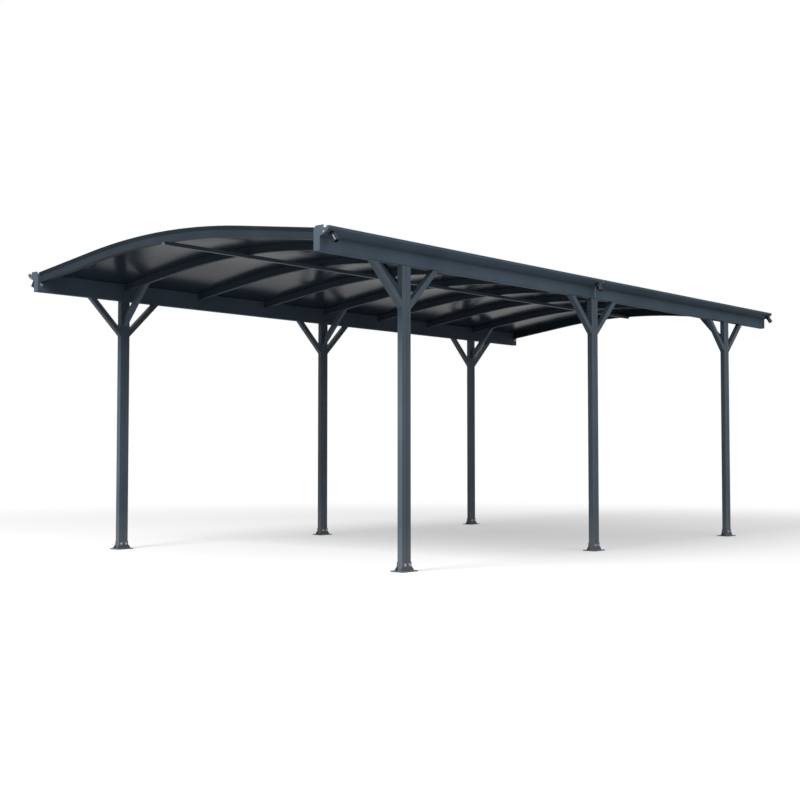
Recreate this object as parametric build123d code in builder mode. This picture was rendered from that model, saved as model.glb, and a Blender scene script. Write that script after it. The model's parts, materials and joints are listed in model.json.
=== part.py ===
"""Free-standing carport: six aluminium posts, two gutter beams and an arched sheet roof.

Frame: X runs across the bay, Y along it with the front at -Y, Z up from the ground.
The origin is on the ground at the middle of the bay. All lengths are millimetres.
"""
import os
from math import atan2, cos, degrees, radians, sin, tan

from build123d import *

# Layout on the ground
post_span = 2850.0
post_pitch = 2215.0
clear_height = 1908.0
beam_overhang = 785.0
ribs_per_post_bay = 3

# Posts: grooved rectangular tube
post_width = 40.0
post_depth = 85.0
post_wall = 2.5
post_corner = 2.0
groove_width = 5.0
groove_depth = 1.2

# Feet: anchor plate with two cheeks, flared at the bottom and bolted to the post's broad faces
foot_width = 110.0
foot_length = 150.0
foot_thickness = 6.0
foot_corner = 8.0
cheek_thickness = 4.0
cheek_height = 54.0
cheek_flare = 26.0
cheek_flare_height = 30.0
anchor_hole_diameter = 12.0
anchor_edge = 14.0

# Gutter beams: box below, trough with a bulging outer wall above
beam_width = 50.0
beam_box_height = 88.0
beam_wall = 2.5
beam_corner = 5.0
gutter_height = 139.0
gutter_inner_height = 130.0
gutter_reach = 73.0
gutter_lip = 17.0
gutter_bulge = 7.0

# End caps of the beams: raised over the roof's edge, with an overflow notch beside it
cap_thickness = 3.0
cap_rise = 9.0
cap_corner = 17.0
overflow_width = 24.0
overflow_depth = 9.0
overflow_edge = 20.0

# Spouts on the gutter wall: tube with a hexagon collar
spout_diameter = 35.0
spout_bore = 29.0
spout_length = 63.0
spout_tilt = 33.0
spout_end_distance = 52.0
collar_diameter = 56.0
collar_thickness = 7.0

# Roof line, drawn along the underside of the sheets
roof_radius = 5700.0
flank_angle = 7.7
sheet_thickness = 6.0
sheet_drip = 25.0
slot_clearance = 0.3
seat_clearance = 0.3

# Intermediate ribs: tube, web and top flange that grip the sheets
rib_width = 30.0
rib_depth = 50.0
rib_wall = 2.0
rib_web = 6.0
rib_flange_width = 44.0
rib_flange_thickness = 3.0

# End arches: deeper tube with a fascia that closes the slot on the outside
arch_width = 40.0
arch_depth = 60.0
arch_wall = 2.5
arch_fascia = 5.0
arch_lip = 16.0
arch_slant = 16.0
arch_nose = 4.0
arch_setback = 5.0

# Ridge purlin under the ribs
purlin_size = 25.0
purlin_wall = 2.0

# Braces: square tubes with mitred ends
brace_size = 38.0
brace_wall = 2.0
beam_brace_angle = 44.0
beam_brace_reach = 295.0
cross_brace_angle = 49.0
cross_brace_drop = 165.0

# Places worked out from the sizes above
rib_pitch = post_pitch / ribs_per_post_bay
bay_half_length = post_pitch + beam_overhang
post_x = post_span / 2
beam_inner_x = post_x - beam_width / 2
flank_slope = tan(radians(flank_angle))
arc_half_width = roof_radius * sin(radians(flank_angle))
eaves_height = clear_height + gutter_inner_height + seat_clearance


def roof_height(x):
    """Underside of the sheets on the straight flank, which rests on the gutter's inner wall."""
    return eaves_height + (beam_inner_x + beam_wall - x) * flank_slope


arc_edge_height = roof_height(arc_half_width)
ridge_height = arc_edge_height + roof_radius * (1 - cos(radians(flank_angle)))
sides = {"left": -1, "right": 1}
stations = {"front": -post_pitch, "middle": 0, "rear": post_pitch}

os.makedirs("parts", exist_ok=True)


def save(part, name):
    part.label = name
    export_step(part, f"parts/{name}.step")


def outward(side):
    """Plane across the beam at its underside: local x runs outwards, local y up, normal along +-Y."""
    return Plane(
        origin=(side * post_x, 0, clear_height),
        x_dir=(side, 0, 0),
        z_dir=(0, -side, 0),
    )


# Posts stand on the foot plate and reach the underside of the beam
for place, y in stations.items():
    for hand, side in sides.items():
        with BuildPart() as post:
            with BuildSketch(Plane.XY.offset(foot_thickness)):
                with Locations((side * post_x, y)):
                    tube = Rectangle(post_width, post_depth)
                    chamfer(tube.vertices(), post_corner)
                    Rectangle(
                        post_width - 2 * post_wall,
                        post_depth - 2 * post_wall,
                        mode=Mode.SUBTRACT,
                    )
                with Locations(
                    (side * post_x - post_width / 2, y),
                    (side * post_x + post_width / 2, y),
                ):
                    Rectangle(2 * groove_depth, groove_width, mode=Mode.SUBTRACT)
            extrude(amount=clear_height - foot_thickness)
        save(post.part, f"post_{place}_{hand}")

# Feet: the cheeks hold the post between them, the plate carries two anchor holes
for place, y in stations.items():
    for hand, side in sides.items():
        with BuildPart() as foot:
            with BuildSketch():
                with Locations((side * post_x, y)):
                    plate = Rectangle(foot_width, foot_length)
                    chamfer(plate.vertices(), foot_corner)
                    with GridLocations(0, foot_length - 2 * anchor_edge, 1, 2):
                        Circle(anchor_hole_diameter / 2, mode=Mode.SUBTRACT)
            extrude(amount=foot_thickness)
            for face in (-1, 1):
                cheek_x = side * post_x + face * (post_width + cheek_thickness) / 2
                with BuildSketch(Plane.YZ.offset(cheek_x - cheek_thickness / 2)):
                    with BuildLine():
                        Polyline(
                            (y - post_depth / 2 - cheek_flare, foot_thickness),
                            (y + post_depth / 2 + cheek_flare, foot_thickness),
                            (y + post_depth / 2, foot_thickness + cheek_flare_height),
                            (y + post_depth / 2, foot_thickness + cheek_height),
                            (y - post_depth / 2, foot_thickness + cheek_height),
                            (y - post_depth / 2, foot_thickness + cheek_flare_height),
                            close=True,
                        )
                    make_face()
                extrude(amount=cheek_thickness)
        save(foot.part, f"foot_{place}_{hand}")

# Gutter wall: an arc from the side of the box to the foot of the upright lip
gutter_tip = beam_width / 2 + gutter_reach
wall_start = beam_box_height - beam_wall
wall_end = gutter_height - gutter_lip
wall_chord = Vector(gutter_reach, wall_end - wall_start)
chord_angle = wall_chord.get_angle(Vector(1, 0))
bulge_angle = 2 * degrees(atan2(2 * gutter_bulge, wall_chord.length))
wall_radius = wall_chord.length / (2 * sin(radians(bulge_angle)))
lip_root = wall_end + beam_wall * tan(radians(90 - chord_angle - bulge_angle) / 2)


def wall_spot(slope, depth):
    """Spot where the gutter wall has that slope, at a depth below its outer face."""
    centre_distance = wall_radius - gutter_bulge
    centre_out = (beam_width + wall_chord.X) / 2 - centre_distance * sin(radians(chord_angle))
    centre_up = wall_start + wall_chord.Y / 2 + centre_distance * cos(radians(chord_angle))
    return (
        centre_out + (wall_radius - depth) * sin(radians(slope)),
        centre_up - (wall_radius - depth) * cos(radians(slope)),
    )


def draw_beam_outline():
    """Outside of the beam from its inner bottom corner to the rim, added to the open line builder."""
    box_edge = (beam_width / 2, wall_start)
    Polyline((-beam_width / 2, 0), (beam_width / 2, 0), box_edge)
    ThreePointArc(box_edge, wall_spot(chord_angle, 0), (gutter_tip, wall_end))
    Line((gutter_tip, wall_end), (gutter_tip, gutter_height))


# Places of the spouts: two at the ends of the front length, one at the rear cap
spout_places = {
    "front": (-bay_half_length + spout_end_distance, -spout_end_distance),
    "rear": (bay_half_length - spout_end_distance,),
}


def spout_plane(side, y):
    """Plane on the outside of the gutter wall, with its normal pointing out and down."""
    out, up = wall_spot(spout_tilt, 0)
    return Plane(
        origin=(side * (post_x + out), y, clear_height + up),
        x_dir=(0, 1, 0),
        z_dir=(side * sin(radians(spout_tilt)), 0, -cos(radians(spout_tilt))),
    )


# Gutter beams: one extrusion from each end cap to the joint over the middle post
for hand, side in sides.items():
    for end, along in (("front", -1), ("rear", 1)):
        with BuildPart() as beam:
            with BuildSketch(outward(side)) as section:
                with BuildLine():
                    draw_beam_outline()
                    Polyline(
                        (gutter_tip, gutter_height),
                        (gutter_tip - beam_wall, gutter_height),
                        (gutter_tip - beam_wall, lip_root),
                    )
                    ThreePointArc(
                        (gutter_tip - beam_wall, lip_root),
                        wall_spot(chord_angle, beam_wall),
                        (beam_width / 2, beam_box_height),
                    )
                    Polyline(
                        (beam_width / 2, beam_box_height),
                        (-beam_width / 2 + beam_wall, beam_box_height),
                        (-beam_width / 2 + beam_wall, gutter_inner_height),
                        (-beam_width / 2, gutter_inner_height),
                        (-beam_width / 2, 0),
                    )
                make_face()
                fillet(section.vertices().group_by(Axis.Y)[0], beam_corner)
                with Locations((0, beam_box_height / 2)):
                    Rectangle(
                        beam_width - 2 * beam_wall,
                        beam_box_height - 2 * beam_wall,
                        mode=Mode.SUBTRACT,
                    )
            extrude(amount=-side * along * (bay_half_length - cap_thickness))
            for y in spout_places[end]:
                with BuildSketch(spout_plane(side, y)):
                    Circle(spout_bore / 2)
                extrude(amount=2 * beam_wall, both=True, mode=Mode.SUBTRACT)
        save(beam.part, f"gutter_beam_{end}_{hand}")

# End caps close the box and the trough at both ends of each beam
overflow_out = gutter_tip - overflow_edge
overflow_in = overflow_out - overflow_width
overflow_floor = gutter_height - overflow_depth
cap_top = gutter_height + cap_rise
for end, along in (("front", -1), ("rear", 1)):
    with BuildPart() as caps:
        for side in sides.values():
            cap_plane = outward(side).offset(-side * along * (bay_half_length - cap_thickness))
            with BuildSketch(cap_plane) as section:
                with BuildLine():
                    draw_beam_outline()
                    Polyline(
                        (gutter_tip, gutter_height),
                        (overflow_out, gutter_height),
                        (overflow_out, overflow_floor),
                        (overflow_in, overflow_floor),
                        (overflow_in, cap_top),
                        (-beam_width / 2 + cap_corner, cap_top),
                        (-beam_width / 2, cap_top - cap_corner),
                        (-beam_width / 2, 0),
                    )
                make_face()
                fillet(section.vertices().group_by(Axis.Y)[0], beam_corner)
            extrude(amount=-side * along * cap_thickness)
    save(caps.part, f"gutter_caps_{end}")

# Spouts: collared nozzles square to the gutter wall
for hand, side in sides.items():
    with BuildPart() as spouts:
        for y in spout_places["front"] + spout_places["rear"]:
            with BuildSketch(spout_plane(side, y)):
                RegularPolygon(collar_diameter / 2, 6)
                Circle(spout_bore / 2, mode=Mode.SUBTRACT)
            extrude(amount=collar_thickness)
            with BuildSketch(spout_plane(side, y).offset(collar_thickness)):
                Circle(spout_diameter / 2)
                Circle(spout_bore / 2, mode=Mode.SUBTRACT)
            extrude(amount=spout_length - collar_thickness)
    save(spouts.part, f"spouts_{hand}")


def draw_roof_line(half_width):
    """Left flank, crown and right flank of the roof, added to the line builder that is open."""
    left_knee = (-arc_half_width, arc_edge_height)
    right_knee = (arc_half_width, arc_edge_height)
    Line((-half_width, roof_height(half_width)), left_knee)
    ThreePointArc(left_knee, (0, ridge_height), right_knee)
    Line(right_knee, (half_width, roof_height(half_width)))


def roof_start(half_width, y):
    """Plane square to the roof line at its left end: local x along +Y, local y up from the sheet."""
    return Plane(
        origin=(-half_width, y, roof_height(half_width)),
        x_dir=(0, 1, 0),
        z_dir=(cos(radians(flank_angle)), 0, sin(radians(flank_angle))),
    )


rib_reach = post_x + beam_width
slot_height = sheet_thickness + 2 * slot_clearance
rib_places = [step * rib_pitch for step in range(-ribs_per_post_bay, ribs_per_post_bay + 1)]

# Intermediate ribs: bent tubes with a slot on each side for the sheets
for number, rib_y in enumerate(rib_places, start=1):
    with BuildPart() as rib:
        with BuildLine(Plane.XZ.offset(-rib_y)):
            draw_roof_line(rib_reach)
        with BuildSketch(roof_start(rib_reach, rib_y)):
            with Locations((0, -rib_depth / 2 - slot_clearance)):
                Rectangle(rib_width, rib_depth)
                Rectangle(rib_width - 2 * rib_wall, rib_depth - 2 * rib_wall, mode=Mode.SUBTRACT)
            with Locations((0, sheet_thickness / 2)):
                Rectangle(rib_web, slot_height)
            with Locations((0, sheet_thickness + slot_clearance + rib_flange_thickness / 2)):
                Rectangle(rib_flange_width, rib_flange_thickness)
        sweep()
        split(bisect_by=Plane.YZ.offset(beam_inner_x), keep=Keep.BOTTOM)
        split(bisect_by=Plane.YZ.offset(-beam_inner_x), keep=Keep.TOP)
    save(rib.part, f"rib_{number}")

# End arches: the fascia leans out past the sheet's edge to a narrow nose
arch_y = bay_half_length - arch_setback - arch_lip - arch_width / 2
for end, along in (("front", -1), ("rear", 1)):
    with BuildPart() as arch:
        with BuildLine(Plane.XZ.offset(-along * arch_y)):
            draw_roof_line(rib_reach)
        arch_top = sheet_thickness + slot_clearance + rib_flange_thickness
        with BuildSketch(roof_start(rib_reach, along * arch_y)):
            with Locations((0, -arch_depth / 2 - slot_clearance)):
                Rectangle(arch_width, arch_depth)
                Rectangle(arch_width - 2 * arch_wall, arch_depth - 2 * arch_wall, mode=Mode.SUBTRACT)
            with BuildLine():
                Polyline(
                    (along * (arch_width / 2 - arch_fascia), -slot_clearance),
                    (along * arch_width / 2, -slot_clearance),
                    (along * arch_width / 2, -arch_slant),
                    (along * (arch_width / 2 + arch_lip), arch_top - arch_nose),
                    (along * (arch_width / 2 + arch_lip), arch_top),
                    (-along * arch_width / 2, arch_top),
                    (-along * arch_width / 2, arch_top - rib_flange_thickness),
                    (along * (arch_width / 2 - arch_fascia), arch_top - rib_flange_thickness),
                    close=True,
                )
            make_face()
        sweep()
        split(bisect_by=Plane.YZ.offset(beam_inner_x), keep=Keep.BOTTOM)
        split(bisect_by=Plane.YZ.offset(-beam_inner_x), keep=Keep.TOP)
    save(arch.part, f"end_arch_{end}")

# Roof sheets: one per bay, from gutter to gutter, edges held in the rib slots
sheet_reach = beam_inner_x + sheet_drip
edge_gap = rib_web / 2 + slot_clearance
end_gap = arch_fascia - arch_width / 2 + slot_clearance
low_edges = [-arch_y + end_gap, *(rib_y + edge_gap for rib_y in rib_places)]
high_edges = [*(rib_y - edge_gap for rib_y in rib_places), arch_y - end_gap]
for number, (low_edge, high_edge) in enumerate(zip(low_edges, high_edges), start=1):
    with BuildPart() as sheet:
        with BuildLine(Plane.XZ):
            draw_roof_line(sheet_reach)
        with BuildSketch(roof_start(sheet_reach, 0)):
            with Locations(((low_edge + high_edge) / 2, sheet_thickness / 2)):
                Rectangle(high_edge - low_edge, sheet_thickness)
        sweep()
    save(sheet.part, f"roof_sheet_{number}")

# Ridge purlin: two lengths under the ribs, between the end arches
purlin_top = ridge_height - slot_clearance - rib_depth - seat_clearance
purlin_length = arch_y - arch_width / 2
for end, along in (("front", -1), ("rear", 1)):
    with BuildPart() as purlin:
        with BuildSketch(Plane.XZ):
            with Locations((0, purlin_top - purlin_size / 2)):
                Rectangle(purlin_size, purlin_size)
                Rectangle(
                    purlin_size - 2 * purlin_wall,
                    purlin_size - 2 * purlin_wall,
                    mode=Mode.SUBTRACT,
                )
        extrude(amount=-along * purlin_length)
    save(purlin.part, f"ridge_purlin_{end}")


def brace_outline(half_height):
    """Side view of a beam brace: level cut under the beam, upright cut on the post."""
    along_beam = half_height / sin(radians(beam_brace_angle))
    along_post = half_height / cos(radians(beam_brace_angle))
    seat = post_depth / 2
    seat_height = clear_height - (beam_brace_reach - seat) * tan(radians(beam_brace_angle))
    return (
        (beam_brace_reach - along_beam, clear_height),
        (beam_brace_reach + along_beam, clear_height),
        (seat, seat_height - along_post),
        (seat, seat_height + along_post),
    )


def cross_outline(half_height):
    """Side view of a cross brace: upright cut on the post, slanted cut under the rib."""
    rise = tan(radians(cross_brace_angle))
    along_post = half_height / cos(radians(cross_brace_angle))
    seat = post_width / 2
    seat_height = clear_height - cross_brace_drop
    rib_underside = roof_height(post_x) - (rib_depth + slot_clearance) / cos(radians(flank_angle))
    low_run = (rib_underside - seat_height + along_post + rise * seat) / (rise - flank_slope)
    high_run = (rib_underside - seat_height - along_post + rise * seat) / (rise - flank_slope)
    return (
        (seat, seat_height - along_post),
        (low_run, rib_underside + low_run * flank_slope),
        (high_run, rib_underside + high_run * flank_slope),
        (seat, seat_height + along_post),
    )


brace_layers = ((brace_size, Mode.ADD), (brace_size - 2 * brace_wall, Mode.SUBTRACT))

# Beam braces: from the narrow faces of each post up to the underside of the beam
for hand, side in sides.items():
    with BuildPart() as braces:
        for size, mode in brace_layers:
            for y in stations.values():
                for along in (-1, 1):
                    with BuildSketch(Plane.YZ.offset(side * post_x - size / 2)):
                        with BuildLine():
                            Polyline(
                                *((y + along * run, z) for run, z in brace_outline(size / 2)),
                                close=True,
                            )
                        make_face()
                    extrude(amount=size, mode=mode)
    save(braces.part, f"beam_braces_{hand}")

# Cross braces: from the inner face of each post up to the rib above it
for hand, side in sides.items():
    with BuildPart() as braces:
        for size, mode in brace_layers:
            for y in stations.values():
                with BuildSketch(Plane.XZ.offset(-y - size / 2)):
                    with BuildLine():
                        Polyline(
                            *((side * (post_x - run), z) for run, z in cross_outline(size / 2)),
                            close=True,
                        )
                    make_face()
                extrude(amount=size, mode=mode)
    save(braces.part, f"cross_braces_{hand}")
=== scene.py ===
import json
from math import asin, cos, pi, radians, sin

import bmesh
import bpy
from mathutils import Matrix, Vector


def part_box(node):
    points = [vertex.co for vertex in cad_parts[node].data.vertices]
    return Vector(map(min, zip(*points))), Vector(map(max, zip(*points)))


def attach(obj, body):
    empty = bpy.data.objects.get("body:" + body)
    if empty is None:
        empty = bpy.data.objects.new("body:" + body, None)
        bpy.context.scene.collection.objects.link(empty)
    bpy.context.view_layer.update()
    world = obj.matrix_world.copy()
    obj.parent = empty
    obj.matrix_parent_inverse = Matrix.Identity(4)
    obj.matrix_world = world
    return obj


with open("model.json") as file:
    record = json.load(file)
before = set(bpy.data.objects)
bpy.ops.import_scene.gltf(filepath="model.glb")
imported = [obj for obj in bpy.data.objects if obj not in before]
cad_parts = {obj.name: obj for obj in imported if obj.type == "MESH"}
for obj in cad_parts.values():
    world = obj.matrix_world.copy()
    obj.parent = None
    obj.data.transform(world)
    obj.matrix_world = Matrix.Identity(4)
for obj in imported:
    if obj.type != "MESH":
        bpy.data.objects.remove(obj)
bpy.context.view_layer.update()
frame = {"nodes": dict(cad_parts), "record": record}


# Posts: grooved rectangular tubes of extruded aluminium, sawn to length and
# powder-coated in satin anthracite. They stand between the cheeks of the feet
# and carry the gutter beams on their sawn tops.
places = ("front", "middle", "rear")
hands = ("left", "right")
post_names = [f"post_{place}_{hand}" for place in places for hand in hands]

anthracite = (0.060, 0.084, 0.110, 1.0)
cloud_scale = 2.6
cloud_shares = (0.86, 1.16)
pattern_span = (0.3, 0.7)
satin_roughness = (0.46, 0.60)
satin_shine = 0.22
upright_streaks = (60.0, 60.0, 0.8)
coat_edge = 0.0015
peel_scale = 600.0
peel_strength = 0.10
peel_depth = 0.0004
dust_tone = (0.20, 0.19, 0.17, 1.0)
dust_scale = 90.0
dust_share = 0.55
dust_height = 0.30
# A colour Mix node has several sockets of one name, so its sockets go by number.
mix_factor, mix_first, mix_second, mix_result = 0, 6, 7, 2


def shader_node(tree, kind, sockets, **settings):
    """Adds a node to a material; a socket given another node's output is linked, any other is set."""
    made = tree.nodes.new(kind)
    for name, value in settings.items():
        setattr(made, name, value)
    for key, value in sockets.items():
        if isinstance(value, bpy.types.NodeSocket):
            tree.links.new(value, made.inputs[key])
        else:
            made.inputs[key].default_value = value
    return made


def new_finish(name):
    """Starts a material; gives it with its node tree, its shader and the place on the object."""
    finish = bpy.data.materials.new(name)
    finish.use_nodes = True
    tree = finish.node_tree
    place = shader_node(tree, "ShaderNodeTexCoord", {}).outputs["Object"]
    return finish, tree, tree.nodes["Principled BSDF"], place


def noise(tree, place, scale, detail):
    """Cloudy pattern; a larger scale makes it finer."""
    pattern = shader_node(tree, "ShaderNodeTexNoise", {"Vector": place, "Scale": scale, "Detail": detail})
    return pattern.outputs["Fac"]


def remap(tree, factor, low, high, start=0.0, end=1.0, **settings):
    """Turns a pattern's values from start to end into values from low to high."""
    spread = shader_node(
        tree, "ShaderNodeMapRange",
        {"Value": factor, "From Min": start, "From Max": end, "To Min": low, "To Max": high},
        **settings,
    )
    return spread.outputs["Result"]


def tone_ramp(tree, factor, low, high):
    """Colour ramp from one tone to another over the span where most of a pattern's values lie."""
    ramp = shader_node(tree, "ShaderNodeValToRGB", {"Fac": factor})
    for element, tone, position in zip(ramp.color_ramp.elements, (low, high), pattern_span):
        element.color = tone
        element.position = position
    return ramp.outputs["Color"]


def shade(tone, share):
    """The same tone, darker or lighter."""
    return (*(channel * share for channel in tone[:3]), 1.0)


def powder_coat(name, tone, streaks, dusty=False, shine=satin_shine):
    """Satin powder coat: clouded tone, faint streaks along the section, orange peel and soft edges."""
    coat, tree, shader, place = new_finish(name)
    clouds = noise(tree, place, cloud_scale, detail=6.0)
    colour = tone_ramp(tree, clouds, *(shade(tone, share) for share in cloud_shares))
    if dusty:
        height = shader_node(tree, "ShaderNodeSeparateXYZ", {"Vector": place}).outputs["Z"]
        near_ground = remap(tree, height, dust_share, 0.0, end=dust_height)
        specks = noise(tree, place, dust_scale, detail=5.0)
        patch = shader_node(tree, "ShaderNodeMath", {0: near_ground, 1: specks}, operation="MULTIPLY")
        settled = shader_node(
            tree, "ShaderNodeMix",
            {mix_factor: patch.outputs["Value"], mix_first: colour, mix_second: dust_tone},
            data_type="RGBA",
        )
        colour = settled.outputs[mix_result]
    tree.links.new(colour, shader.inputs["Base Color"])
    drawn = shader_node(tree, "ShaderNodeMapping", {"Vector": place, "Scale": streaks})
    lines = noise(tree, drawn.outputs["Vector"], 1.0, detail=4.0)
    gloss = remap(tree, lines, *satin_roughness, *pattern_span)
    tree.links.new(gloss, shader.inputs["Roughness"])
    soft_edge = shader_node(tree, "ShaderNodeBevel", {"Radius": coat_edge}, samples=4)
    peel = noise(tree, place, peel_scale, detail=1.0)
    bump = shader_node(
        tree, "ShaderNodeBump",
        {"Strength": peel_strength, "Distance": peel_depth, "Height": peel,
         "Normal": soft_edge.outputs["Normal"]},
    )
    tree.links.new(bump.outputs["Normal"], shader.inputs["Normal"])
    shader.inputs["Specular IOR Level"].default_value = shine
    return coat


def finish_nodes(names, material):
    """Puts a finish on CAD pieces, whose meshes stay as they are."""
    for name in names:
        slots = frame["nodes"][name].data.materials
        slots.clear()
        slots.append(material)


finish_nodes(post_names, powder_coat("post_powder_coat", anthracite, upright_streaks, dusty=True))


# Feet: welded steel anchor plates with two flared cheeks, in the same coat.
# Two zinc-plated hexagon bolts with washers go through each cheek into the post.
foot_names = [f"foot_{place}_{hand}" for place in places for hand in hands]
cheek_thickness = 0.004
bolt_spread = 0.022
bolt_height = 0.041
head_sides = 6
head_radius = 0.0088
head_height = 0.0062
head_edge_share = 0.16
washer_sides = 28
washer_radius = 0.0112
washer_thickness = 0.0018
washer_edge_share = 0.4
zinc_tone = (0.40, 0.42, 0.44, 1.0)
zinc_dull_tone = shade(zinc_tone, 0.8)
zinc_cloud_scale = 160.0
zinc_roughness = (0.34, 0.52)


def centre_of(node):
    """Middle of a CAD piece's box."""
    low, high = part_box(node)
    return (low + high) / 2


def stand_on(place, axis):
    """Matrix of a fastener that stands on a face at place and points along axis."""
    return Matrix.Translation(place) @ Vector(axis).to_track_quat("Z", "Y").to_matrix().to_4x4()


def top_face(faces, axis):
    """The face of a fastener that lies squarest to its axis, and of such faces the largest."""
    return max(faces, key=lambda face: (round(face.normal.dot(axis), 3), face.calc_area()))


def add_disc(mesh, matrix, sides, radius, top_radius, height, edge):
    """Short plug with a softened top edge; returns its top face."""
    made = bmesh.ops.create_cone(
        mesh, cap_ends=True, segments=sides, radius1=radius, radius2=top_radius, depth=height,
        matrix=matrix @ Matrix.Translation((0, 0, height / 2)),
    )
    axis = matrix.to_3x3() @ Vector((0, 0, 1))
    faces = {face for vertex in made["verts"] for face in vertex.link_faces}
    for face in faces:
        face.normal_update()
    cap = top_face(faces, axis)
    softened = bmesh.ops.bevel(
        mesh, geom=cap.edges[:], offset=edge, segments=2, profile=0.5, affect="EDGES", material=-1,
    )
    for face in softened["faces"]:
        face.normal_update()
    return cap if cap.is_valid else top_face(softened["faces"], axis)


def add_hex_bolt(mesh, place, axis):
    """Washer with a hexagon head on it."""
    stand = stand_on(place, axis)
    washer_edge = washer_thickness * washer_edge_share
    add_disc(mesh, stand, washer_sides, washer_radius, washer_radius, washer_thickness, washer_edge)
    on_washer = stand @ Matrix.Translation((0, 0, washer_thickness))
    head_edge = head_height * head_edge_share
    add_disc(mesh, on_washer, head_sides, head_radius, head_radius, head_height, head_edge)


def make_piece(name, mesh, material):
    """Turns a finished bmesh into a piece that rides on the carport."""
    data = bpy.data.meshes.new(name)
    mesh.to_mesh(data)
    mesh.free()
    piece = bpy.data.objects.new(name, data)
    data.materials.append(material)
    bpy.context.scene.collection.objects.link(piece)
    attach(piece, "root")


def zinc_plate(name):
    """Bright zinc on steel, clouded in tone and gloss."""
    zinc, tree, shader, place = new_finish(name)
    clouds = noise(tree, place, zinc_cloud_scale, detail=4.0)
    tree.links.new(tone_ramp(tree, clouds, zinc_dull_tone, zinc_tone), shader.inputs["Base Color"])
    tree.links.new(remap(tree, clouds, *zinc_roughness), shader.inputs["Roughness"])
    shader.inputs["Metallic"].default_value = 1.0
    return zinc


finish_nodes(foot_names, powder_coat("foot_powder_coat", anthracite, upright_streaks, dusty=True))
bolt_zinc = zinc_plate("bolt_zinc")
for place in places:
    for hand in hands:
        post_low, post_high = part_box(f"post_{place}_{hand}")
        post_y = centre_of(f"post_{place}_{hand}").y
        mesh = bmesh.new()
        for face_x, way in ((post_low.x - cheek_thickness, -1), (post_high.x + cheek_thickness, 1)):
            for shift in (-bolt_spread, bolt_spread):
                add_hex_bolt(mesh, (face_x, post_y + shift, bolt_height), (way, 0, 0))
        make_piece(f"foot_bolts_{place}_{hand}", mesh, bolt_zinc)


# Gutter beams: one aluminium extrusion with a box below and a rain trough above,
# powder-coated. Two lengths meet over each middle post, where a pale bead of
# sealant is drawn down the joint.
beam_names = [f"gutter_beam_{end}_{hand}" for end in ("front", "rear") for hand in hands]
# Painted light: the beams take the posts' coat made lighter, standing in for light on their outer walls.
beam_painted_light_tone = shade(anthracite, 1.18)
beam_shine = 0.02
level_streaks = (60.0, 0.8, 60.0)
finish_nodes(beam_names, powder_coat("beam_painted_light_coat", beam_painted_light_tone, level_streaks, shine=beam_shine))

beam_width = 0.050
box_height = 0.0855
gutter_lip = 0.017
gutter_bulge = 0.007
seal_width = 0.009
seal_thickness = 0.0010
seal_edge = 0.0004
seal_steps = 8
sealant_tone = (0.20, 0.23, 0.27, 1.0)
sealant = powder_coat("joint_sealant", sealant_tone, level_streaks)


def only(kind, parts):
    """The vertices, edges or faces among what an operator made."""
    return [part for part in parts if isinstance(part, kind)]


for hand, side in zip(hands, (-1, 1)):
    beam_low, beam_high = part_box(f"gutter_beam_front_{hand}")
    inner_x, tip_x = (beam_low.x, beam_high.x) if side > 0 else (beam_high.x, beam_low.x)
    seal_y = beam_high.y - seal_width / 2
    box_foot = Vector((inner_x + side * beam_width, seal_y, beam_low.z + seal_width))
    box_top = Vector((box_foot.x, seal_y, beam_low.z + box_height))
    wall_end = Vector((tip_x, seal_y, beam_high.z - gutter_lip))
    chord = wall_end - box_top
    wall_radius = (chord.length_squared / 4 + gutter_bulge**2) / (2 * gutter_bulge)
    inwards = Vector((-side * chord.z, 0, abs(chord.x))).normalized()
    wall_centre = box_top + chord / 2 + inwards * (wall_radius - gutter_bulge)
    mesh = bmesh.new()
    foot = mesh.verts.new(box_foot)
    corner = mesh.verts.new(box_top)
    rim = mesh.verts.new((tip_x, seal_y, beam_high.z))
    mesh.edges.new((foot, corner))
    wall = bmesh.ops.spin(
        mesh, geom=[corner], cent=wall_centre, axis=(0, -side, 0),
        angle=2 * asin(chord.length / 2 / wall_radius), steps=seal_steps,
    )
    wall_top = only(bmesh.types.BMVert, wall["geom_last"])[0]
    mesh.edges.new((wall_top, rim))
    strip = bmesh.ops.extrude_edge_only(mesh, edges=mesh.edges[:])
    far_side = only(bmesh.types.BMVert, strip["geom"])
    bmesh.ops.translate(mesh, verts=far_side, vec=(0, seal_width, 0))
    bmesh.ops.recalc_face_normals(mesh, faces=mesh.faces)
    if max(mesh.faces, key=lambda face: abs(face.normal.x)).normal.x * side < 0:
        bmesh.ops.reverse_faces(mesh, faces=mesh.faces)
    bmesh.ops.solidify(mesh, geom=mesh.faces[:], thickness=-seal_thickness)
    bmesh.ops.recalc_face_normals(mesh, faces=mesh.faces)
    bmesh.ops.bevel(
        mesh, geom=mesh.edges[:], offset=seal_edge, segments=1, profile=0.5, affect="EDGES", material=-1,
    )
    make_piece(f"beam_joint_bead_{hand}", mesh, sealant)


# End caps: die-cut aluminium plates in the same coat, painted darker as shade, pushed into the beam ends.
# One zinc pan-head screw beside the overflow notch holds each cap.
cap_names = ["gutter_caps_front", "gutter_caps_rear"]
# Painted shade: the caps take the coat at three quarters of its tone.
cap_shaded_tone = shade(anthracite, 0.75)
finish_nodes(cap_names, powder_coat("cap_painted_shade_coat", cap_shaded_tone, upright_streaks))

cap_screw_out = 0.056
cap_screw_drop = 0.042
screw_sides = 18
screw_radius = 0.0055
screw_height = 0.0034
dome_top_share = 0.92
dome_edge_share = 0.45
recess_rim_share = 0.28
recess_depth_share = 0.5


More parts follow.
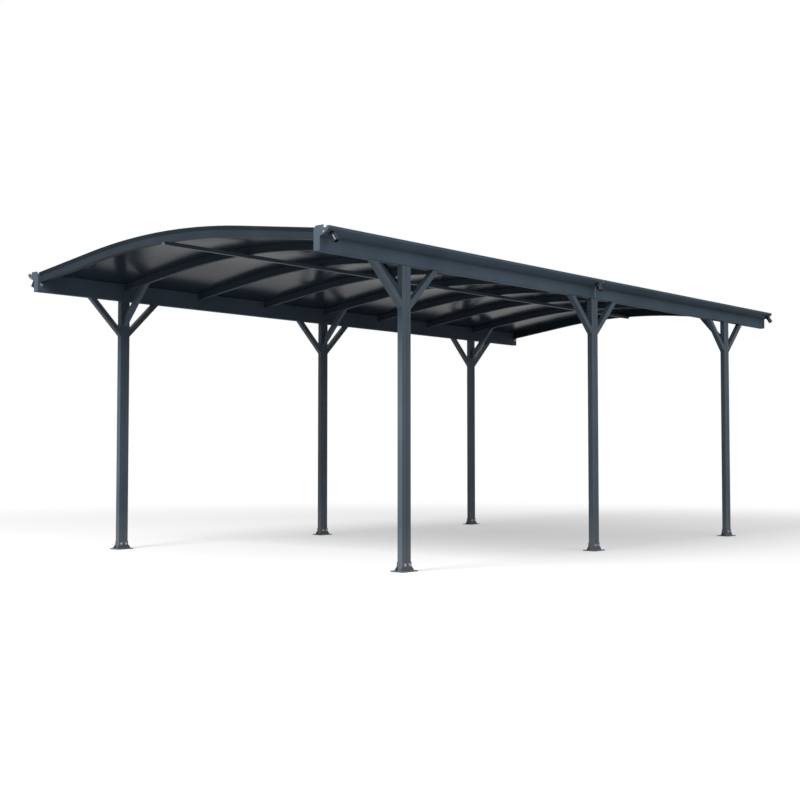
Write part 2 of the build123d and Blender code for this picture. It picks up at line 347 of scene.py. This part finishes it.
def add_pan_screw(mesh, place, axis):
    """Domed screw head with a driving recess."""
    stand = stand_on(place, axis)
    dome_radius = screw_radius * dome_top_share
    dome_edge = screw_height * dome_edge_share
    cap = add_disc(mesh, stand, screw_sides, screw_radius, dome_radius, screw_height, dome_edge)
    bmesh.ops.inset_region(mesh, faces=[cap], thickness=screw_radius * recess_rim_share)
    sunk = bmesh.ops.extrude_discrete_faces(mesh, faces=[cap])["faces"][0]
    sink = Vector(axis).normalized() * -screw_height * recess_depth_share
    bmesh.ops.translate(mesh, verts=sunk.verts, vec=sink)


mesh = bmesh.new()
row_x = centre_of("post_front_right").x
for name, along in zip(cap_names, (-1, 1)):
    cap_low, cap_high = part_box(name)
    end_y = cap_low.y if along < 0 else cap_high.y
    for side in (-1, 1):
        spot = (side * (row_x + cap_screw_out), end_y, cap_high.z - cap_screw_drop)
        add_pan_screw(mesh, spot, (0, along, 0))
make_piece("cap_screws", mesh, bolt_zinc)


# Spouts: glossy black injection-moulded nozzles with a hexagon collar, screwed into
# the gutter wall. A rounded bead at the mouth keeps a hose on.
mounts = {mount["name"]: mount for mount in frame["record"]["mounts"]}
mm_per_metre = 1000
spout_black = (0.009, 0.013, 0.018, 1.0)
scuff_tone = shade(spout_black, 1.8)
scuff_scale = 120.0
spout_roughness = (0.22, 0.36)
spout_shine = 0.30
spout_edge = 0.0012
bead_radius = 0.0017
bead_sides = 10
bead_steps = 40
merge_distance = 1e-6


def black_plastic(name):
    """Glossy moulded plastic with faint scuffs and softened edges."""
    plastic, tree, shader, place = new_finish(name)
    scuffs = noise(tree, place, scuff_scale, detail=5.0)
    tree.links.new(tone_ramp(tree, scuffs, spout_black, scuff_tone), shader.inputs["Base Color"])
    tree.links.new(remap(tree, scuffs, *spout_roughness), shader.inputs["Roughness"])
    soft_edge = shader_node(tree, "ShaderNodeBevel", {"Radius": spout_edge}, samples=4)
    tree.links.new(soft_edge.outputs["Normal"], shader.inputs["Normal"])
    shader.inputs["Specular IOR Level"].default_value = spout_shine
    return plastic


spout_plastic = black_plastic("spout_black_plastic")
finish_nodes(["spouts_left", "spouts_right"], spout_plastic)
for hand in hands:
    mesh = bmesh.new()
    for place in places:
        spout = mounts[f"spout_{place}_{hand}"]
        axis = Vector(spout["axis"])
        spout_radius = spout["dims"]["r_mm"] / mm_per_metre
        reach = spout["dims"]["length_mm"] / mm_per_metre / 2 - bead_radius
        mouth = stand_on(Vector(spout["pos_m"]) + axis * reach, axis)
        on_rim = mouth @ Matrix.Translation((spout_radius, 0, 0)) @ Matrix.Rotation(pi / 2, 4, "X")
        ring = bmesh.ops.create_circle(mesh, segments=bead_sides, radius=bead_radius, matrix=on_rim)
        loop = list({edge for vertex in ring["verts"] for edge in vertex.link_edges})
        bmesh.ops.spin(
            mesh, geom=ring["verts"] + loop, cent=mouth.translation, axis=axis,
            angle=2 * pi, steps=bead_steps, use_merge=True,
        )
    bmesh.ops.remove_doubles(mesh, verts=mesh.verts, dist=merge_distance)
    bmesh.ops.recalc_face_normals(mesh, faces=mesh.faces)
    for face in mesh.faces:
        face.smooth = True
    make_piece(f"spout_beads_{hand}", mesh, spout_plastic)


# Ribs and end arches: aluminium sections bent to the roof line, in the same coat made darker as painted
# shade.
# Black rubber gaskets lie along their flanges on the sheets, and a zinc bolt under
# each end of the arches ties them to the inner wall of the beam.
rib_count = 7
rib_names = [f"rib_{number}" for number in range(1, rib_count + 1)]
# Painted shade: the ribs under the roof take the coat at a little over half its tone.
rib_shaded_tone = shade(anthracite, 0.58)
rib_shine = 0.06
arch_names = ["end_arch_front", "end_arch_rear"]
# Painted shade: the end arches take the coat at a third of its tone, as if they stood in shadow.
arch_shaded_tone = shade(anthracite, 0.32)
arch_shine = 0.04
cross_streaks = (0.8, 60.0, 60.0)
finish_nodes(rib_names, powder_coat("rib_painted_shade_coat", rib_shaded_tone, cross_streaks, shine=rib_shine))
finish_nodes(arch_names, powder_coat("arch_painted_shade_coat", arch_shaded_tone, cross_streaks, shine=arch_shine))

roof_radius = 5.700
flank_angle = radians(7.7)
sheet_thickness = 0.006
ridge_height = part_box("roof_sheet_1")[1].z - sheet_thickness
flank_end_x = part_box("rib_1")[1].x
rib_flange_half = 0.022
gasket_width = 0.005
gasket_height = 0.0032
gasket_steps = 24
gasket_profile_shares = ((-1, 0), (1, 0), (0.7, 0.75), (0, 1), (-0.7, 0.75))
rubber_tone = (0.012, 0.012, 0.013, 1.0)
bloom_tone = shade(rubber_tone, 2.2)
bloom_scale = 45.0
rubber_roughness = 0.68


def gasket_rubber(name):
    """Dull black rubber with a pale bloom in patches."""
    rubber, tree, shader, place = new_finish(name)
    bloom = noise(tree, place, bloom_scale, detail=5.0)
    tree.links.new(tone_ramp(tree, bloom, rubber_tone, bloom_tone), shader.inputs["Base Color"])
    shader.inputs["Roughness"].default_value = rubber_roughness
    return rubber


def add_gasket(mesh, y):
    """Strip on the sheets, bent round the crown and run down both flanks to the beams."""
    turn_centre = Vector((0, y, ridge_height - roof_radius))
    knee = Vector((-sin(flank_angle), 0, cos(flank_angle)))
    start = turn_centre + knee * (roof_radius + sheet_thickness)
    profile = [
        mesh.verts.new(start + Vector((0, across * gasket_width / 2, 0)) + knee * rise * gasket_height)
        for across, rise in gasket_profile_shares
    ]
    section = mesh.faces.new(profile)
    crown = bmesh.ops.spin(
        mesh, geom=[section], cent=turn_centre, axis=(0, 1, 0),
        angle=2 * flank_angle, steps=gasket_steps,
    )
    far_section = only(bmesh.types.BMFace, crown["geom_last"])[0]
    run = (flank_end_x - abs(start.x)) / cos(flank_angle)
    for end, way in ((section, -1), (far_section, 1)):
        flank = bmesh.ops.extrude_discrete_faces(mesh, faces=[end])["faces"][0]
        down = Vector((way * cos(flank_angle), 0, -sin(flank_angle)))
        bmesh.ops.translate(mesh, verts=flank.verts, vec=down * run)


mesh = bmesh.new()
for name in rib_names:
    for way in (-1, 1):
        add_gasket(mesh, centre_of(name).y + way * (rib_flange_half + gasket_width / 2))
for name, way in zip(arch_names, (1, -1)):
    arch_low, arch_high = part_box(name)
    inner_y = arch_high.y if way > 0 else arch_low.y
    add_gasket(mesh, inner_y + way * gasket_width / 2)
bmesh.ops.recalc_face_normals(mesh, faces=mesh.faces)
make_piece("rib_gaskets", mesh, gasket_rubber("gasket_rubber"))

tie_bolt_height = 0.052
beam_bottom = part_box("gutter_beam_front_left")[0].z
mesh = bmesh.new()
for name in arch_names:
    arch_low, arch_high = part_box(name)
    for side in (-1, 1):
        spot = (side * arch_high.x, centre_of(name).y, beam_bottom + tie_bolt_height)
        add_hex_bolt(mesh, spot, (-side, 0, 0))
make_piece("arch_tie_bolts", mesh, bolt_zinc)


# Roof sheets: twin-wall polycarbonate in a dark smoke tint with painted shade in it,
# glossy on both faces, bent cold into the slots of the ribs. Its flutes run with the curve of the roof.
sheet_count = rib_count + 1
sheet_names = [f"roof_sheet_{number}" for number in range(1, sheet_count + 1)]
# Partly painted shade: the smoke tint is the sheet's own, but its depth and blue cast are the shade under
# the roof.
smoke_and_shade_tone = (0.017, 0.026, 0.038, 1.0)
smoke_shares = (0.94, 1.12)
mottle_scale = 1.4
sheet_roughness = (0.12, 0.26)
sheet_ior = 1.10
flute_pitch = 0.0105
flute_depth = 0.0002
flute_strength = 0.05
sag_scale = 1.1
sag_depth = 0.008
# A wave texture of scale 1 has this many radians of wave to the metre.
wave_radians = 20


def smoke_sheet(name):
    """Tinted glossy sheet: faint mottling, flutes that show through and a slight sag between the ribs."""
    plastic, tree, shader, place = new_finish(name)
    mottle = noise(tree, place, mottle_scale, detail=4.0)
    colour = tone_ramp(tree, mottle, *(shade(smoke_and_shade_tone, share) for share in smoke_shares))
    tree.links.new(colour, shader.inputs["Base Color"])
    tree.links.new(remap(tree, mottle, *sheet_roughness), shader.inputs["Roughness"])
    flutes = shader_node(
        tree, "ShaderNodeTexWave",
        {"Vector": place, "Scale": 2 * pi / (wave_radians * flute_pitch)}, bands_direction="Y",
    )
    flute_bump = shader_node(
        tree, "ShaderNodeBump",
        {"Strength": flute_strength, "Distance": flute_depth, "Height": flutes.outputs["Fac"]},
    )
    sag = noise(tree, place, sag_scale, detail=1.0)
    sag_bump = shader_node(
        tree, "ShaderNodeBump",
        {"Strength": 1.0, "Distance": sag_depth, "Height": sag, "Normal": flute_bump.outputs["Normal"]},
    )
    tree.links.new(sag_bump.outputs["Normal"], shader.inputs["Normal"])
    shader.inputs["IOR"].default_value = sheet_ior
    return plastic


finish_nodes(sheet_names, smoke_sheet("smoke_and_shade_polycarbonate"))


# Ridge purlin: a square aluminium tube in two lengths under the crown of the ribs,
# in the same coat. Pan-head screws fix it to each rib, and a cast grey shoe closes
# each end and carries it under the end arch.
purlin_names = ["ridge_purlin_front", "ridge_purlin_rear"]
finish_nodes(purlin_names, powder_coat("purlin_powder_coat", anthracite, level_streaks))

screw_tone = shade(anthracite, 1.3)
purlin_low, purlin_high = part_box("ridge_purlin_front")
mesh = bmesh.new()
for name in rib_names:
    add_pan_screw(mesh, (0, centre_of(name).y, purlin_low.z), (0, 0, -1))
coated_screw = powder_coat("screw_powder_coat", screw_tone, upright_streaks)
make_piece("purlin_screws", mesh, coated_screw)

purlin_wall = 0.002
arch_width = 0.040
arch_depth = 0.060
shoe_gap = 0.0005
shoe_edge = 0.0012
spigot_length = 0.012
shoe_grey = (0.078, 0.084, 0.094, 1.0)
shoe_width = purlin_high.x - purlin_low.x
shoe_height = ridge_height - arch_depth - shoe_gap - purlin_low.z
shoe_size = Vector((shoe_width, arch_width, shoe_height))
mesh = bmesh.new()
for end_y, way in ((purlin_low.y, 1), (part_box("ridge_purlin_rear")[1].y, -1)):
    middle = Vector((0, end_y - way * arch_width / 2, purlin_low.z + shoe_height / 2))
    shoe = bmesh.ops.create_cube(mesh, matrix=Matrix.LocRotScale(middle, None, shoe_size))
    faces = {face for vertex in shoe["verts"] for face in vertex.link_faces}
    rims = {edge for face in faces for edge in face.edges}
    tail = max(faces, key=lambda face: face.calc_center_median().y * way)
    bmesh.ops.inset_region(mesh, faces=[tail], thickness=purlin_wall + shoe_gap)
    spigot = bmesh.ops.extrude_discrete_faces(mesh, faces=[tail])["faces"][0]
    bmesh.ops.translate(mesh, verts=spigot.verts, vec=(0, way * spigot_length, 0))
    bmesh.ops.bevel(
        mesh, geom=list(rims), offset=shoe_edge, segments=2, profile=0.5, affect="EDGES", material=-1,
    )
make_piece("purlin_end_shoes", mesh, powder_coat("shoe_grey_coat", shoe_grey, upright_streaks))


# Braces: square aluminium tubes with mitred ends, in the same coat, set between
# posts, beams and ribs and screwed on from inside.
brace_names = [f"{kind}_braces_{hand}" for kind in ("beam", "cross") for hand in hands]
finish_nodes(brace_names, powder_coat("brace_powder_coat", anthracite, upright_streaks))


# Stage: pale floor that keeps the soft shadow, white surroundings, soft light from
# the front, the right and the sky, and a camera at the height and angle of the photograph.
floor_half = 40.0
floor_cells = 8
floor_drop = 0.001
mesh = bmesh.new()
bmesh.ops.create_grid(mesh, x_segments=floor_cells, y_segments=floor_cells, size=floor_half)
bmesh.ops.translate(mesh, verts=mesh.verts, vec=(0, 0, -floor_drop))
floor_data = bpy.data.meshes.new("studio_floor")
mesh.to_mesh(floor_data)
mesh.free()
floor = bpy.data.objects.new("studio_floor", floor_data)
bpy.context.scene.collection.objects.link(floor)

white_tone = (1.0, 1.0, 1.0, 1.0)
floor_tone = (0.80, 0.80, 0.80, 1.0)
bounce_tone = (0.30, 0.30, 0.30, 1.0)
white_from, white_to = 4.0, 9.0
white_share_near = 0.35


def seen_rays(tree):
    """1 for rays that show the surroundings: straight, mirrored or through glass."""
    path = shader_node(tree, "ShaderNodeLightPath", {})
    mirrored = shader_node(
        tree, "ShaderNodeMath",
        {0: path.outputs["Is Camera Ray"], 1: path.outputs["Is Glossy Ray"]}, operation="MAXIMUM",
    )
    through = shader_node(
        tree, "ShaderNodeMath",
        {0: mirrored.outputs["Value"], 1: path.outputs["Is Transmission Ray"]}, operation="MAXIMUM",
    )
    return through.outputs["Value"]


floor_paint = bpy.data.materials.new("floor_paint")
floor_paint.use_nodes = True
floor_tree = floor_paint.node_tree
floor_tree.nodes.clear()
floor_place = shader_node(floor_tree, "ShaderNodeTexCoord", {}).outputs["Object"]
distance = shader_node(floor_tree, "ShaderNodeVectorMath", {0: floor_place}, operation="LENGTH")
fade = remap(
    floor_tree, distance.outputs["Value"], white_share_near, 1.0, white_from, white_to,
    interpolation_type="SMOOTHSTEP",
)
shown = shader_node(floor_tree, "ShaderNodeBsdfDiffuse", {"Color": floor_tone})
white = shader_node(floor_tree, "ShaderNodeEmission", {"Color": white_tone, "Strength": 1.0})
bounce = shader_node(floor_tree, "ShaderNodeBsdfDiffuse", {"Color": bounce_tone})
pale = shader_node(
    floor_tree, "ShaderNodeMixShader",
    {0: fade, 1: shown.outputs["BSDF"], 2: white.outputs["Emission"]},
)
floor_mix = shader_node(
    floor_tree, "ShaderNodeMixShader",
    {0: seen_rays(floor_tree), 1: bounce.outputs["BSDF"], 2: pale.outputs["Shader"]},
)
shader_node(floor_tree, "ShaderNodeOutputMaterial", {"Surface": floor_mix.outputs["Shader"]})
floor_data.materials.append(floor_paint)

sky_level = 0.68
world = bpy.data.worlds.new("white_surroundings")
world.use_nodes = True
bpy.context.scene.world = world
sky_tree = world.node_tree
sky_tree.nodes.clear()
sky_strength = remap(sky_tree, seen_rays(sky_tree), sky_level, 1.0)
sky = shader_node(sky_tree, "ShaderNodeBackground", {"Color": white_tone, "Strength": sky_strength})
shader_node(sky_tree, "ShaderNodeOutputWorld", {"Surface": sky.outputs["Background"]})

lamps = {
    "front_light": {"place": (0.3, -10.2, 7.6), "aim": (0.3, -2.0, 1.4), "size": 3.8, "watts": 1450.0},
    "side_light": {"place": (9.0, -1.0, 7.4), "aim": (1.4, -0.5, 1.6), "size": 6.0, "watts": 220.0},
}
for name, lamp in lamps.items():
    light = bpy.data.lights.new(name, "AREA")
    light.size = lamp["size"]
    light.energy = lamp["watts"]
    holder = bpy.data.objects.new(name, light)
    holder.location = lamp["place"]
    holder.rotation_euler = (Vector(lamp["aim"]) - holder.location).to_track_quat("-Z", "Y").to_euler()
    bpy.context.scene.collection.objects.link(holder)

camera_place = (6.4934, -8.1813, 0.7324)
camera_yaw = 0.7075
camera_pitch = 0.0426
sensor_width = 36.0
lens_length = 56.425
camera_data = bpy.data.cameras.new("photo_camera")
camera_data.sensor_width = sensor_width
camera_data.lens = lens_length
camera = bpy.data.objects.new("photo_camera", camera_data)
camera.location = camera_place
camera.rotation_euler = (pi / 2 + camera_pitch, 0, camera_yaw)
bpy.context.scene.collection.objects.link(camera)
bpy.context.scene.camera = camera
bpy.context.scene.view_settings.view_transform = "Standard"
